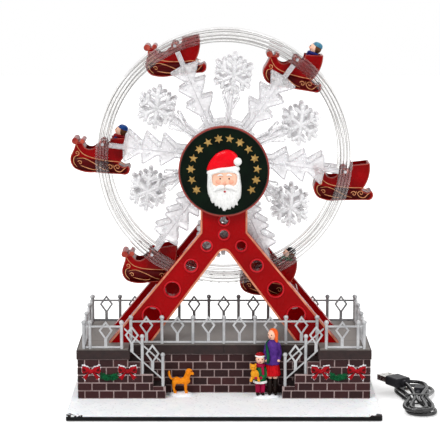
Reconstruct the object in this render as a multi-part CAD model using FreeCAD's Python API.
import FreeCAD, Part
import math
import os

V = FreeCAD.Vector

# Musical Christmas ferris wheel. Millimetres, +Z up, the front faces -Y.
# The origin is the centre of the footprint, at floor level under the feet.

# Base plate and snow ground
BASE_WIDTH = 247.0
BASE_DEPTH = 157.0
PLATE_THICK = 3.2
PLATE_CORNER = 2.0
FOOT_RADIUS = 6.0
FOOT_PROUD = 0.8
FOOT_INSET = 22.0
SNOW_THICK = 1.0
SNOW_INSET = 0.4

# Brick building: a U in plan, with a recess at the front for the stairs
SIDE_YARD = 6.0
FRONT_YARD = 49.0
BACK_YARD = 3.5
RECESS_DEPTH = 18.0
WING_INNER = 77.0
WALL_HEIGHT = 33.8
WALL_THICK = 2.0
CAP_THICK = 7.2
CAP_SIDE_LIP = 1.0
CAP_FRONT_LIP = 1.2
CAP_REAR_LIP = 2.3
STONE_THICK = 1.0
STONE_INSET = 1.2
STONE_REAR_BORDER = 7.5

# Stairs down from the wings to the middle of the recess
STAIR_TREADS = 3
STAIR_RUN = 10.0
STAIR_WALL = 1.6
STAIR_CLEAR = 0.1

# Fences: ball-topped posts with diamonds on flat stems between them
POST_RADIUS = 1.25
BALL_RADIUS = 1.9
BALL_HEIGHT = 21.7
TOP_RAIL_HEIGHT = 18.4
BOTTOM_RAIL_HEIGHT = 1.4
RAIL_DEEP = 1.3
RAIL_THICK = 1.4
BAR_WIDE = 1.3
BAR_THICK = 1.3
DIAMOND_LOW = 7.0
DIAMOND_MID = 15.2
DIAMOND_TOP = 22.9
DIAMOND_HALF = 5.6
STEM_HALF = 1.2
FENCE_SETBACK = 1.4
REAR_BAYS = 9
CENTRE_BAYS = 6
SIDE_BAYS = 3
SIDE_FENCE_INSET = 4.9
REAR_END_BAY = 23.4
WING_BAY = 25.4
SIDE_FENCE_GAP = 6.15
CENTRE_FENCE_GAP = 1.4
WING_FENCE_INSET = 5.2

# Stair rails
RAIL_POSTS = 3
RAIL_POST_PITCH = 16.5
RAIL_SLOPE = 0.92
STAIR_RAIL_HEIGHT = 15.0
RAIL_END_GAP = 0.3

# Wheel
WHEEL_SETBACK = 53.0
AXLE_HEIGHT = 195.5
RIM_RADIUS = 104.2
RIM_BAND = 10.5
RIM_THICK = 3.0
RIM_RIB = 0.8
RIM_RIB_COUNT = 4
WHEEL_THICK = 32.0
PIVOT_RADIUS = 99.0
SEAT_COUNT = 6
FIRST_ARM_ANGLE = -6.5
AXLE_RADIUS = 2.0
AXLE_CLEAR = 0.05
HUB_RADIUS = 30.0
DRUM_RADIUS = 15.0
DRUM_WALL = 2.0
ARM_THICK = 3.0
ARM_STEM_HALF = 4.2
ARM_ROD_HALF = 2.0
ARM_BARB_BLUNT = 1.6
ARM_BARB_LEAN = 1.5
ARM_TIER_COUNT = 3
ARM_TIER_FIRST = 51.5
ARM_TIER_PITCH = 14.7
ARM_TIP_SIDE = 13.2
ARM_BAR_ANGLE = 36.0
FLAKE_RADIUS = 67.5
FLAKE_REACH = 15.5
FLAKE_BAR = 4.2
FLAKE_TWIG = 6.0
FLAKE_TWIG_BAR = 3.4
FLAKE_TWIG_ANGLE = 55.0
FLAKE_TWIG_AT = 9.0
FLAKE_STEM = 5.6
FLAKE_THICK = 2.4
PIN_RADIUS = 1.2
PIN_CLEAR = 0.05

# Sleigh gondolas, drawn around their pivot with the front to the left
SLEIGH_LENGTH = 46.8
SLEIGH_AHEAD = 1.3
SLEIGH_DROP = 3.0
SLEIGH_WIDTH = 22.0
SLEIGH_WALL = 1.5
LUG_RADIUS = 3.2
ROLL_RADIUS = 2.6
CURL_RADIUS = 1.9
SLEIGH_TILTS = (-4.5, 5.0, -10.5, 0.0, -7.0, 0.0)
RIDER_SEATS = (1, 3, 5)
SEAT_HEIGHT = -13.0
SEAT_FRONT = 1.7
SLEIGH_DASH = (-29.1, 1.3)
SLEIGH_BACK_LOW = (30.3, -28.2)
SLEIGH_BACK_TOP = (46.8, 16.8)
RIDER_GAP = 0.3
RIDER_LEAN = 0.3
RIDER_LAP = 2.4
RIDER_BODY = 4.6
RIDER_NECK = 3.2
RIDER_TALL = 18.3
RIDER_HEAD = 4.6

# A-frames that carry the axle
FRAME_FRONT = 30.5
FRAME_THICK = 8.0
FRAME_HEAD_HALF = 18.9
FRAME_SHOULDER_DROP = 58.2
FRAME_FOOT_OUT = 93.8
FRAME_FOOT_IN = 59.3
FRAME_CROTCH_DROP = 69.5
FRAME_CROTCH_RADIUS = 5.0
HOLE_RIM_WIDE = 1.3
HOLE_RIM_PROUD = 0.6
HEAD_HOLE_DROPS = (48.4, 60.0)
HEAD_HOLE_RADIUS = 3.6
LEG_HOLE_DROPS = (69.3, 85.5, 105.1, 126.7)
LEG_HOLE_RADII = (3.7, 4.5, 5.8, 6.8)
TRIM_WIDE = 1.4
TRIM_PROUD = 0.6
TRIM_GAP = 0.1
BUSH_RADIUS = 4.2
BUSH_FLANGE = 7.0
BUSH_GAP = 0.3

# Medallion on the front frame
MEDALLION_RADIUS = 36.5
MEDALLION_DROP = 7.9
MEDALLION_THICK = 4.6
MEDALLION_RIM = 1.8
MEDALLION_RIM_PROUD = 0.9
ORNAMENT_COUNT = 14
ORNAMENT_INSET = 8.1
ORNAMENT_SIZE = 3.7
ORNAMENT_PROUD = 0.7
ORNAMENT_ARC = 248.0
STAR_SIX_WAIST = 0.5
STAR_FIVE_WAIST = 0.41
RELIEF_THICK = 2.6
BRIM_PROUD = 0.5

# Drive behind the rear frame
GEAR_MODULE = 0.8
WHEEL_TEETH = 40
PINION_TEETH = 12
GEAR_WIDE = 4.0
GEAR_BACKLASH = 0.16
PRESSURE_ANGLE = 20.0
GEAR_GAP = 1.2
MOTOR_NOSE_RADIUS = 3.0
SHAFT_DEPTH = 2.0
MOTOR_RADIUS = 12.0
MOTOR_LENGTH = 13.0
MOTOR_SHAFT_RADIUS = 1.0
HOUSING_RADIUS = 27.6
HOUSING_WALL = 1.8
WIRE_RADIUS = 1.0
WIRE_CLEAR = 0.3
WIRE_START = 11.0
WIRE_BEND = 12.0

# Screws
SCREW_RADIUS = 1.4
SCREW_HEAD_RADIUS = 2.7
SCREW_HEAD_THICK = 1.6
SCREW_CLEAR = 0.05
BOSS_RADIUS = 3.6
RIB_THICK = 1.6
SCREW_REACH = 10.8

# Things inside and on the back of the base
BOARD_LENGTH = 62.0
BOARD_WIDTH = 36.0
BOARD_THICK = 1.6
BOARD_LIFT = 5.0
CHIP_SIZE = 11.0
CHIP_TALL = 2.2
CAN_RADIUS = 3.6
CAN_TALL = 9.0
CAN_PITCH = 12.0
SPEAKER_RADIUS = 20.0
SPEAKER_THICK = 14.0
SPEAKER_FRAME_THICK = 6.3
SPEAKER_CONE_DEEP = 4.2
SPEAKER_RIM = 2.0
MAGNET_RADIUS = 11.0
GRILLE_RADIUS = 16.0
GRILLE_SLOTS = 7
GRILLE_SLOT_WIDE = 2.0
GRILLE_SLOT_PITCH = 4.4
SOCKET_PITCH = 26.0
SOCKET_Z = 16.0
SOCKET_BORE = 1.8
SOCKET_PIN = 0.6
SOCKET_FLANGE = 4.2
SOCKET_FLANGE_THICK = 1.0
SOCKET_BARREL = 3.2
SOCKET_LENGTH = 11.0
SOCKET_BACK = 1.5
SOCKET_CLEAR = 0.05
SWITCH_INSET = 29.5
SWITCH_Z = 16.0
SWITCH_LENGTH = 13.0
SWITCH_HIGH = 6.5
SWITCH_DEEP = 6.0
SLIDER_LENGTH = 3.6
SLIDER_HIGH = 3.2
SLIDER_PROUD = 2.2
SWITCH_TRAVEL = 2.5
SWITCH_CLEAR = 0.3
SLIDER_CHAMFER = 0.4

# Garlands and bows on the wing fronts
BOW_HALF = 7.6
BOW_THICK = 2.0
BOW_INSET = 10.7
BOW_PITCH = 29.2
GARLAND_DROP = 3.4
GARLAND_WIDE = 5.0
GARLAND_THICK = 1.6
GARLAND_SAG = 2.0
KNOT_PROUD = 0.6
SWAG_HEIGHT = 28.1

# Figures in the yard
MOUND_TALL = 2.0
MOUND_TAPER = 2.0
MOUND_FRONT = 7.0
MOUND_GAP = 0.8
DOG_STAIR_GAP = 2.0
DOG_GAP = 6.5
DOG_TALL = 20.4
DOG_LONG = 21.5
DOG_MOUND = 10.0
SHOPPER_STAIR_GAP = 1.5
SHOPPER_GAP = 11.0
SHOPPER_MOUND = 11.0
WOMAN_TALL = 54.5
WOMAN_ASIDE = 4.8
CHILD_TALL = 35.0
CHILD_ASIDE = 5.2
CHILD_FORWARD = 1.5

# USB lead, tied in a hank on the floor beside the base
CORD = 3.0
LAYER_GAP = 0.6
HANK_ASIDE = 32.5
HANK_Y = -27.0
HANK_LOOPS = 3.5
HANK_WAIST = 0.95
HANK_WAIST_STEP = 4.0
HANK_LOBE_STEP = 5.3
HANK_END_STEP = 4.6
HANK_LOWER_REACH = 25.0
HANK_UPPER_REACH = 30.0
HANK_LOWER_LEANS = (1.0, -2.4)
HANK_LOWER_HALVES = (5.0, 5.0)
HANK_LOWER_ENDS = (33.0, 34.8)
HANK_UPPER_LEANS = (1.5, -0.6)
HANK_UPPER_HALVES = (6.6, 9.2)
HANK_UPPER_ENDS = (38.0, 44.0)
TIE_THICK = 0.5
TIE_WIDE = 2.4
TIE_CLEAR = 0.3
TIE_TAIL = 3.0
USB_X = -7.4
USB_Y = 20.0
USB_TURN = 33.0
USB_NUB_RADIUS = 2.6
USB_NUB_LONG = 3.0
USB_GRIP_WIDE = 14.6
USB_GRIP_HIGH = 7.6
USB_GRIP_LONG = 14.0
USB_SHELL_WIDE = 12.0
USB_SHELL_HIGH = 4.5
USB_SHELL_LONG = 12.4
USB_SHELL_WALL = 0.4
USB_WINDOW = 2.2
USB_TONGUE_HIGH = 1.8
DC_X = 1.6
DC_Y = 14.0
DC_TURN = 16.0
DC_RELIEF_RADIUS = 2.3
DC_RELIEF_LONG = 8.0
DC_BODY_WIDE = 8.0
DC_BODY_LONG = 9.0
DC_BODY_HIGH = 7.0
DC_BARREL_AT = 5.6
DC_BARREL_TURN = 78.0
DC_BARREL_RADIUS = 1.75
DC_BARREL_BORE = 0.7
DC_BARREL_LONG = 8.0
FLOOR_GAP = 0.3

# How far a cutting shape runs past what it cuts
PAST = 1.0

# Heights and depths that follow from the driving sizes
PLATE_TOP = FOOT_PROUD + PLATE_THICK
GROUND = PLATE_TOP + SNOW_THICK
WALL_TOP = PLATE_TOP + WALL_HEIGHT
CAP_TOP = WALL_TOP + CAP_THICK
DECK = CAP_TOP + STONE_THICK
BASE_FRONT = -BASE_DEPTH / 2
BASE_BACK = BASE_DEPTH / 2
WING_FRONT = BASE_FRONT + FRONT_YARD
CENTRE_FRONT = WING_FRONT + RECESS_DEPTH
BUILDING_BACK = BASE_BACK - BACK_YARD
BUILDING_HALF = BASE_WIDTH / 2 - SIDE_YARD
SIDE_FENCE_X = BUILDING_HALF - SIDE_FENCE_INSET
REAR_BAY = 2 * (SIDE_FENCE_X - REAR_END_BAY) / (REAR_BAYS - 2)
FENCE_FRONT = WING_FRONT - CAP_FRONT_LIP + STONE_INSET + FENCE_SETBACK
FENCE_BACK = BUILDING_BACK + CAP_REAR_LIP - STONE_REAR_BORDER / 2
WING_FENCE_START = WING_INNER + WING_FENCE_INSET
BOW_OUTER_X = BUILDING_HALF - BOW_INSET
BOW_INNER_X = BOW_OUTER_X - BOW_PITCH
SWITCH_X = SWITCH_INSET - BUILDING_HALF
SOCKET_X = SWITCH_X + SOCKET_PITCH
STAIR_FOOT = WING_INNER - STAIR_TREADS * STAIR_RUN
DOG_X = DOG_STAIR_GAP + DOG_MOUND - STAIR_FOOT
SHOPPER_X = STAIR_FOOT - SHOPPER_STAIR_GAP - SHOPPER_MOUND
HANK_X = BASE_WIDTH / 2 + HANK_ASIDE
WHEEL_Y = WING_FRONT + WHEEL_SETBACK
AXLE = V(0, WHEEL_Y, AXLE_HEIGHT)
WHEEL_HALF = WHEEL_THICK / 2
FRAME_BACK = FRAME_FRONT - FRAME_THICK
MEDALLION_Z = AXLE_HEIGHT - MEDALLION_DROP
MEDALLION_FACE = WHEEL_Y - FRAME_FRONT - MEDALLION_THICK
GEAR_FRONT = WHEEL_Y + FRAME_FRONT + GEAR_GAP
GEAR_RADIUS = GEAR_MODULE * WHEEL_TEETH / 2
PINION_RADIUS = GEAR_MODULE * PINION_TEETH / 2
GEAR_CENTRES = GEAR_RADIUS + PINION_RADIUS
STAIR_RISE = (DECK - GROUND) / (STAIR_TREADS + 1)


def box(x0, x1, y0, y1, z0, z1):
    """Box between two values on each axis."""
    return Part.makeBox(x1 - x0, y1 - y0, z1 - z0, V(x0, y0, z0))


def rod(start, end, radius):
    """Round bar from one point to another."""
    return Part.makeCylinder(radius, (end - start).Length, start, end - start)


def disc_y(centre, y0, y1, radius):
    """Round plate whose axis lies along Y."""
    return Part.makeCylinder(radius, y1 - y0, V(centre.x, y0, centre.z), V(0, 1, 0))


def disc_z(x, y, z0, z1, radius):
    """Round plate whose axis lies along Z."""
    return Part.makeCylinder(radius, z1 - z0, V(x, y, z0), V(0, 0, 1))


def edges_along(shape, way):
    """The edges of a box that run along one axis."""
    return [edge for edge in shape.Edges if abs(edge.tangentAt(edge.FirstParameter).dot(way)) > 0.9]


def fuse(shapes):
    """One solid made of many that touch or overlap."""
    joined = shapes[0]
    if len(shapes) > 1:
        joined = shapes[0].multiFuse(shapes[1:])
    return joined.removeSplitter()


def cut(shape, tools):
    """A shape less a list of others."""
    return shape.cut(Part.Compound(tools))


def group(shapes):
    """Several separate solids in one node."""
    return Part.Compound(shapes)


def face_xz(points, y):
    """Flat face in an upright plane, from (x, z) corners."""
    corners = [V(x, y, z) for x, z in points]
    return Part.Face(Part.makePolygon(corners + corners[:1]))


def slab_xz(points, y0, y1):
    """Upright plate from (x, z) corners, between two depths."""
    return face_xz(points, y0).extrude(V(0, y1 - y0, 0))


def slab_xy(points, z0, z1):
    """Level plate from (x, y) corners, between two heights."""
    corners = [V(x, y, z0) for x, y in points]
    face = Part.Face(Part.makePolygon(corners + corners[:1]))
    return face.extrude(V(0, 0, z1 - z0))


def turned(points, centre, axis=V(0, 1, 0)):
    """Ring or disc turned about an axis along Y, from (radius, y) corners."""
    corners = [V(centre.x + radius, y, centre.z) for radius, y in points]
    face = Part.Face(Part.makePolygon(corners + corners[:1]))
    return face.revolve(centre, axis, 360)


def about_axle(shape, angle, centre=AXLE):
    """A copy turned anticlockwise, as seen from the front, about an axis along Y."""
    copy = shape.copy()
    copy.rotate(centre, V(0, -1, 0), angle)
    return copy


def moved(shape, x, y, z):
    """A copy shifted by three distances."""
    copy = shape.copy()
    copy.translate(V(x, y, z))
    return copy


def mirrored(shape):
    """The other hand of a shape, across the plane of symmetry."""
    return shape.mirror(V(0, 0, 0), V(1, 0, 0))


def bar_xz(start, end, width, y0, y1):
    """Straight flat bar with round ends in an upright plane; start and end are (x, z)."""
    length = math.hypot(end[0] - start[0], end[1] - start[1])
    half = width / 2
    arc_a = Part.Arc(V(0, 0, -half), V(-half, 0, 0), V(0, 0, half)).toShape()
    top = Part.makeLine(V(0, 0, half), V(length, 0, half))
    arc_b = Part.Arc(V(length, 0, half), V(length + half, 0, 0), V(length, 0, -half)).toShape()
    low = Part.makeLine(V(length, 0, -half), V(0, 0, -half))
    shape = Part.Face(Part.Wire([arc_a, top, arc_b, low])).extrude(V(0, y1 - y0, 0))
    shape.rotate(V(0, 0, 0), V(0, -1, 0), math.degrees(math.atan2(end[1] - start[1], end[0] - start[0])))
    return moved(shape, start[0], y0, start[1])


# Base

def screw_places():
    """Where screws hold the bottom plate to bosses in the building."""
    inset = WALL_THICK + BOSS_RADIUS
    x_out = BUILDING_HALF - inset
    y_low = WING_FRONT + inset
    y_high = BUILDING_BACK - inset
    y_mid = CENTRE_FRONT + inset
    return [(-x_out, y_low), (x_out, y_low), (-x_out, y_high), (x_out, y_high), (0, y_mid), (0, y_high)]


def boss_ribs():
    """Ribs that tie each screw boss to the walls nearest to it."""
    reach = WALL_THICK + BOSS_RADIUS
    half = RIB_THICK / 2
    middle = (WING_FRONT + BUILDING_BACK) / 2
    ribs = []
    for x, y in screw_places():
        toward = 1 if y > middle else -1
        wall = y + toward * reach
        ribs.append(box(x - half, x + half, min(y, wall), max(y, wall), PLATE_TOP, WALL_TOP))
        if x != 0:
            wall = x + math.copysign(reach, x)
            ribs.append(box(min(x, wall), max(x, wall), y - half, y + half, PLATE_TOP, WALL_TOP))
    return ribs


def foot_places():
    """Centres of the four rubber feet."""
    x = BASE_WIDTH / 2 - FOOT_INSET
    y = BASE_DEPTH / 2 - FOOT_INSET
    return [(-x, -y), (x, -y), (-x, y), (x, y)]


def speaker_centre():
    """Middle of the speaker, over the grille in the bottom plate."""
    return V(BUILDING_HALF / 2, (CENTRE_FRONT + BUILDING_BACK) / 2, PLATE_TOP)


def board_corner():
    """Low corner of the circuit board."""
    return V(-BUILDING_HALF / 2 - BOARD_LENGTH / 2, CENTRE_FRONT + 3 * BOSS_RADIUS, PLATE_TOP + BOARD_LIFT)


def board_posts():
    """Centres of the posts under the circuit board."""
    corner = board_corner()
    inset = BOSS_RADIUS
    xs = (corner.x + inset, corner.x + BOARD_LENGTH - inset)
    ys = (corner.y + inset, corner.y + BOARD_WIDTH - inset)
    return [(x, y) for x in xs for y in ys]


def make_bottom_plate():
    """Black plate with a speaker grille, countersunk screw holes and board posts."""
    half = BASE_WIDTH / 2
    plate = box(-half, half, BASE_FRONT, BASE_BACK, FOOT_PROUD, PLATE_TOP)
    plate = plate.makeFillet(PLATE_CORNER, edges_along(plate, V(0, 0, 1)))
    tools = []
    for x, y in screw_places():
        tools.append(disc_z(x, y, 0, PLATE_TOP, SCREW_RADIUS + SCREW_CLEAR))
        tools.append(disc_z(x, y, 0, FOOT_PROUD + SCREW_HEAD_THICK, SCREW_HEAD_RADIUS + SCREW_CLEAR))
    middle = speaker_centre()
    for index in range(GRILLE_SLOTS):
        offset = (index - (GRILLE_SLOTS - 1) / 2) * GRILLE_SLOT_PITCH
        reach = math.sqrt(GRILLE_RADIUS ** 2 - offset ** 2)
        x0 = middle.x + offset - GRILLE_SLOT_WIDE / 2
        tools.append(box(x0, x0 + GRILLE_SLOT_WIDE, middle.y - reach, middle.y + reach, 0, PLATE_TOP))
    posts = [disc_z(x, y, PLATE_TOP, PLATE_TOP + BOARD_LIFT, BOSS_RADIUS) for x, y in board_posts()]
    return fuse([cut(plate, tools)] + posts)


def make_feet():
    """Four round rubber feet under the plate."""
    return group([disc_z(x, y, 0, FOOT_PROUD, FOOT_RADIUS) for x, y in foot_places()])


def building_outline(side, front, back):
    """Corners of the U, each face moved outwards by its own lip."""
    x_out = BUILDING_HALF + side
    x_in = WING_INNER - front
    y_wing = WING_FRONT - front
    y_mid = CENTRE_FRONT - front
    y_back = BUILDING_BACK + back
    return [(-x_out, y_back), (-x_out, y_wing), (-x_in, y_wing), (-x_in, y_mid),
            (x_in, y_mid), (x_in, y_wing), (x_out, y_wing), (x_out, y_back)]


def make_brick_walls():
    """Hollow brick building with screw bosses and openings for the socket and switch."""
    outside = slab_xy(building_outline(0, 0, 0), PLATE_TOP, WALL_TOP)
    inside = slab_xy(building_outline(-WALL_THICK, -WALL_THICK, -WALL_THICK), PLATE_TOP, WALL_TOP)
    walls = outside.cut(inside)
    bosses = [disc_z(x, y, PLATE_TOP, WALL_TOP, BOSS_RADIUS) for x, y in screw_places()]
    solid = fuse([walls] + bosses + boss_ribs())
    tools = []
    for x, y in screw_places():
        tools.append(disc_z(x, y, PLATE_TOP, PLATE_TOP + SCREW_REACH, SCREW_RADIUS + SCREW_CLEAR))
    socket = V(SOCKET_X, 0, SOCKET_Z)
    tools.append(disc_y(socket, BUILDING_BACK - WALL_THICK, BUILDING_BACK, SOCKET_BARREL))
    slot = SLIDER_LENGTH / 2 + SWITCH_TRAVEL + SWITCH_CLEAR
    high = SLIDER_HIGH / 2 + SWITCH_CLEAR
    tools.append(box(SWITCH_X - slot, SWITCH_X + slot, BUILDING_BACK - WALL_THICK, BUILDING_BACK,
                     SWITCH_Z - high, SWITCH_Z + high))
    return cut(solid, tools)


def make_cap_slab(tunnel):
    """Dark coping slab around the top of the walls, with a hole for the motor wire."""
    slab = slab_xy(building_outline(CAP_SIDE_LIP, CAP_FRONT_LIP, CAP_REAR_LIP), WALL_TOP, CAP_TOP)
    return cut(slab, [tunnel] + foot_screw_holes(WALL_TOP, CAP_TOP))


def make_deck_stone(tunnel):
    """Grey stone surface set in from the edges of the coping."""
    side = CAP_SIDE_LIP - STONE_INSET
    front = CAP_FRONT_LIP - STONE_INSET
    back = CAP_REAR_LIP - STONE_REAR_BORDER
    slab = slab_xy(building_outline(side, front, back), CAP_TOP, DECK)
    return cut(slab, [tunnel] + foot_screw_holes(CAP_TOP, DECK))


def make_snow_ground():
    """Snow sheet over the plate, cut round the building and the stairs."""
    half = BASE_WIDTH / 2 - SNOW_INSET
    sheet = box(-half, half, BASE_FRONT + SNOW_INSET, BASE_BACK - SNOW_INSET, PLATE_TOP, GROUND)
    plan = slab_xy(building_outline(0, 0, 0), PLATE_TOP, GROUND)
    reach = STAIR_TREADS * STAIR_RUN
    left = box(-WING_INNER, -WING_INNER + reach, WING_FRONT, CENTRE_FRONT, PLATE_TOP, GROUND)
    right = mirrored(left)
    return cut(sheet, [plan, left, right])


def make_stair():
    """Left stair: open-bottomed steps against the side of the left wing."""
    solids = []
    hollows = []
    y0 = WING_FRONT
    y1 = CENTRE_FRONT - STAIR_CLEAR
    for index in range(STAIR_TREADS):
        x0 = -WING_INNER + STAIR_CLEAR
        x1 = -WING_INNER + (STAIR_TREADS - index) * STAIR_RUN
        top = GROUND + (index + 1) * STAIR_RISE
        solids.append(box(x0, x1, y0, y1, PLATE_TOP, top))
        hollows.append(box(x0 + STAIR_WALL, x1 - STAIR_WALL, y0 + STAIR_WALL, y1 - STAIR_WALL,
                           PLATE_TOP, top - STAIR_WALL))
    return cut(fuse(solids), hollows)


# Fences

def post(x, foot, z):
    """Fence post with its ball; foot is how far it reaches below the deck line."""
    shaft = disc_z(x, 0, z - foot, z + BALL_HEIGHT, POST_RADIUS)
    ball = Part.makeSphere(BALL_RADIUS, V(x, 0, z + BALL_HEIGHT))
    return [shaft, ball]


def diamond(x, z):
    """Open diamond on a flat stem, centred on x, above the deck line z."""
    half = DIAMOND_HALF
    inner = half - BAR_WIDE * 1.25
    rise = (DIAMOND_TOP - DIAMOND_MID) * inner / half
    fall = (DIAMOND_MID - DIAMOND_LOW) * inner / half
    y0 = -BAR_THICK / 2
    y1 = BAR_THICK / 2
    mid = z + DIAMOND_MID
    outside = slab_xz([(x, z + DIAMOND_LOW), (x + half, mid), (x, z + DIAMOND_TOP), (x - half, mid)], y0, y1)
    inside = slab_xz([(x, mid - fall), (x + inner, mid), (x, mid + rise), (x - inner, mid)], y0, y1)
    top = z + DIAMOND_LOW + (DIAMOND_MID - DIAMOND_LOW) * STEM_HALF / half
    stem = box(x - STEM_HALF, x + STEM_HALF, y0, y1, z + BOTTOM_RAIL_HEIGHT, top)
    return [outside.cut(inside), stem]


def rail(x0, x1, z):
    """Level rail centred on height z."""
    return box(x0, x1, -RAIL_THICK / 2, RAIL_THICK / 2, z - RAIL_DEEP / 2, z + RAIL_DEEP / 2)


def fence(bays, tail=0.0):
    """Straight fence from x = 0, standing on z = 0; tail is the length of the rails before it."""
    length = sum(bays)
    parts = post(0, 0, 0)
    end = 0
    for bay in bays:
        parts += diamond(end + bay / 2, 0)
        end += bay
        parts += post(end, 0, 0)
    parts.append(rail(-tail, length, TOP_RAIL_HEIGHT))
    parts.append(rail(-tail, length, BOTTOM_RAIL_HEIGHT))
    return fuse(parts)


def make_rear_fence():
    """Long fence along the back of the deck."""
    bays = [REAR_END_BAY] + [REAR_BAY] * (REAR_BAYS - 2) + [REAR_END_BAY]
    return moved(fence(bays), -SIDE_FENCE_X, FENCE_BACK, CAP_TOP)


def make_centre_fence():
    """Fence along the front of the middle block."""
    half = WING_INNER - CENTRE_FENCE_GAP
    return moved(fence([2 * half / CENTRE_BAYS] * CENTRE_BAYS), -half, FENCE_FRONT + RECESS_DEPTH, DECK)


def make_side_fence():
    """Left side fence, from the front corner to just before the rear fence."""
    side = fence([(FENCE_BACK - SIDE_FENCE_GAP - FENCE_FRONT) / SIDE_BAYS] * SIDE_BAYS)
    side.rotate(V(0, 0, 0), V(0, 0, 1), 90)
    return moved(side, -SIDE_FENCE_X, FENCE_FRONT, DECK)


def make_wing_fence():
    """Short fence along the front of the left wing."""
    tail = SIDE_FENCE_X - POST_RADIUS - RAIL_END_GAP - WING_FENCE_START - WING_BAY
    return moved(fence([WING_BAY], tail), -WING_FENCE_START - WING_BAY, FENCE_FRONT, DECK)


def rail_line(x):
    """Height that a left stair rail is measured from, at a distance across."""
    return DECK - (x + WING_INNER + CAP_FRONT_LIP) * RAIL_SLOPE


def make_stair_rail():
    """Left stair rail: posts and diamonds that step down beside the treads."""
    first = -WING_FENCE_START
    end = first + (RAIL_POSTS - 1) * RAIL_POST_PITCH
    edge = CAP_FRONT_LIP - WING_INNER + RAIL_END_GAP
    parts = []
    for index in range(1, RAIL_POSTS):
        x = first + index * RAIL_POST_PITCH
        tread = math.ceil((STAIR_TREADS * STAIR_RUN - WING_INNER - x) / STAIR_RUN)
        parts += post(x, rail_line(x) - GROUND - STAIR_RISE * tread, rail_line(x))
    for index in range(RAIL_POSTS - 1):
        x = max(first + (index + 0.5) * RAIL_POST_PITCH, edge + STEM_HALF)
        parts += diamond(x, rail_line(x))
    for start, height in ((first + BALL_RADIUS + RAIL_END_GAP, STAIR_RAIL_HEIGHT), (edge, BOTTOM_RAIL_HEIGHT)):
        low = height - RAIL_DEEP / 2
        high = height + RAIL_DEEP / 2
        corners = [(start, rail_line(start) + low), (end, rail_line(end) + low),
                   (end, rail_line(end) + high), (start, rail_line(start) + high)]
        parts.append(slab_xz(corners, -RAIL_THICK / 2, RAIL_THICK / 2))
    return moved(fuse(parts), 0, FENCE_FRONT, 0)


# Bows and garlands on the wing fronts

def bow(x, z):
    """Two loops, a knot and two tails, flat against the wall."""
    y0 = WING_FRONT - BOW_THICK
    half = BOW_HALF
    parts = []
    for side in (-1, 1):
        loop = [(x, z + half * 0.07), (x + side * half * 0.45, z + half * 0.62),
                (x + side * half * 0.95, z + half * 0.55), (x + side * half, z - half * 0.05),
                (x + side * half * 0.6, z - half * 0.32), (x, z - half * 0.12)]
        tail = [(x, z), (x + side * half * 0.35, z - half * 0.15), (x + side * half * 0.98, z - half * 0.85),
                (x + side * half * 0.5, z - half * 1.05)]
        parts.append(slab_xz(loop, y0, WING_FRONT))
        parts.append(slab_xz(tail, y0, WING_FRONT))
    knot = disc_y(V(x, 0, z), y0 - KNOT_PROUD, WING_FRONT, half * 0.24)
    return fuse(parts + [knot])


def make_bows():
    """Four ribbon bows, two on each wing."""
    places = [-BOW_OUTER_X, -BOW_INNER_X, BOW_INNER_X, BOW_OUTER_X]
    return group([bow(x, SWAG_HEIGHT) for x in places])


def make_garlands():
    """A swag of greenery between the bows of each wing."""
    middle = (BOW_OUTER_X + BOW_INNER_X) / 2
    reach = (BOW_OUTER_X - BOW_INNER_X) / 2 - BOW_HALF * 1.05
    y0 = WING_FRONT - GARLAND_THICK
    middle_top = GARLAND_WIDE / 2 - GARLAND_SAG
    middle_low = -GARLAND_WIDE / 2 - GARLAND_SAG
    end_top = GARLAND_WIDE * 0.3
    end_low = -GARLAND_WIDE * 0.4
    top = [V(-reach, y0, end_top), V(0, y0, middle_top), V(reach, y0, end_top)]
    low = [V(reach, y0, end_low), V(0, y0, middle_low), V(-reach, y0, end_low)]
    edges = [Part.Arc(*top).toShape(), Part.makeLine(top[2], low[0]),
             Part.Arc(*low).toShape(), Part.makeLine(low[2], top[0])]
    swag = Part.Face(Part.Wire(edges)).extrude(V(0, GARLAND_THICK, 0))
    swags = [moved(swag, side * middle, 0, SWAG_HEIGHT - GARLAND_DROP) for side in (-1, 1)]
    return group(swags)


# A-frames

def leg_middle(drop):
    """Half distance between the middles of the two legs, at a drop below the axle."""
    inner = FRAME_FOOT_IN * (drop - FRAME_CROTCH_DROP) / (AXLE_HEIGHT - DECK - FRAME_CROTCH_DROP)
    return (leg_outer(drop) + inner) / 2


def frame_holes():
    """Centres and radii of the round holes, as (x, drop, radius)."""
    holes = [(0.0, drop, HEAD_HOLE_RADIUS) for drop in HEAD_HOLE_DROPS]
    for drop, radius in zip(LEG_HOLE_DROPS, LEG_HOLE_RADII):
        holes.append((leg_middle(drop), drop, radius))
        holes.append((-leg_middle(drop), drop, radius))
    return holes


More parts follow.
